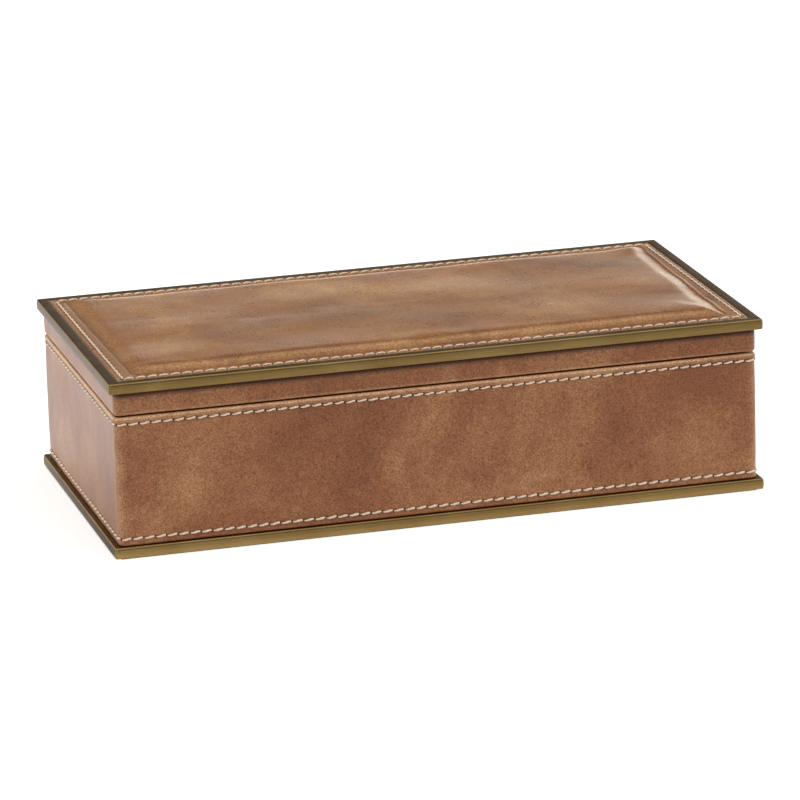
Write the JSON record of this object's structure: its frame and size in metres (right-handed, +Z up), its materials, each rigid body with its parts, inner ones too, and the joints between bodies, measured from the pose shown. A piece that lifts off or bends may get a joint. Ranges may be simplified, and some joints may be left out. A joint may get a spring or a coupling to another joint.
{
  "type": "stationery box",
  "caption": "Rectangular leather-covered box with a hinged lid, a padded stitched lid panel, mitred brass trim round lid and plinth, and a lined tray inside.",
  "frame": {"origin": "centre of the underside, on the surface the box stands on", "axes": "+X to the right along the long side, +Y to the back where the hinges are, +Z up; the front faces -Y"},
  "size_m": [0.305, 0.1586, 0.0839],
  "materials": {
    "leather": "tan aniline leather, mottled, soft satin",
    "trim_brass": "antiqued brass, finely brushed along the bar",
    "hinge_brass": "satin brass",
    "screws": "satin brass",
    "thread": "waxed cream linen thread",
    "lining": "napped suede cloth",
    "felt": "dark wool felt",
    "foam": "open-cell foam",
    "board": "medium density fibreboard",
    "card": "grey card"
  },
  "bodies": {
    "base": {"felt_pad": "felt", "base_trim_front": "trim_brass", "base_trim_back": "trim_brass", "base_trim_left": "trim_brass", "base_trim_right": "trim_brass", "base_trim_screws": "screws", "base_board": "board", "base_wall_front": "board", "base_wall_back": "board", "base_wall_left": "board", "base_wall_right": "board", "base_leather": "leather", "base_thread_upper": "thread", "base_thread_lower": "thread", "base_lining_floor": "lining", "base_lining_front": "lining", "base_lining_back": "lining", "base_lining_left": "lining", "base_lining_right": "lining", "hinge_left_base_leaf": "hinge_brass", "hinge_right_base_leaf": "hinge_brass", "hinge_left_pin": "hinge_brass", "hinge_right_pin": "hinge_brass", "hinge_base_screws": "screws"},
    "lid": {"lid_board": "board", "lid_wall_front": "board", "lid_wall_back": "board", "lid_wall_left": "board", "lid_wall_right": "board", "lid_leather_band": "leather", "lid_trim_front": "trim_brass", "lid_trim_back": "trim_brass", "lid_trim_left": "trim_brass", "lid_trim_right": "trim_brass", "lid_trim_screws": "screws", "lid_panel_card": "card", "lid_panel_foam": "foam", "lid_panel_leather": "leather", "lid_thread": "thread", "lid_lining_top": "lining", "lid_lining_front": "lining", "lid_lining_back": "lining", "lid_lining_left": "lining", "lid_lining_right": "lining", "hinge_left_lid_leaf": "hinge_brass", "hinge_right_lid_leaf": "hinge_brass", "hinge_lid_screws": "screws"}
  },
  "joints": [
    {"name": "lid_hinge", "type": "hinge", "parent": "base", "child": "lid", "pos_m": [0, 0.0774, 0.06625], "axis": [-1, 0, 0], "range_deg": [0, 100]}
  ]
}
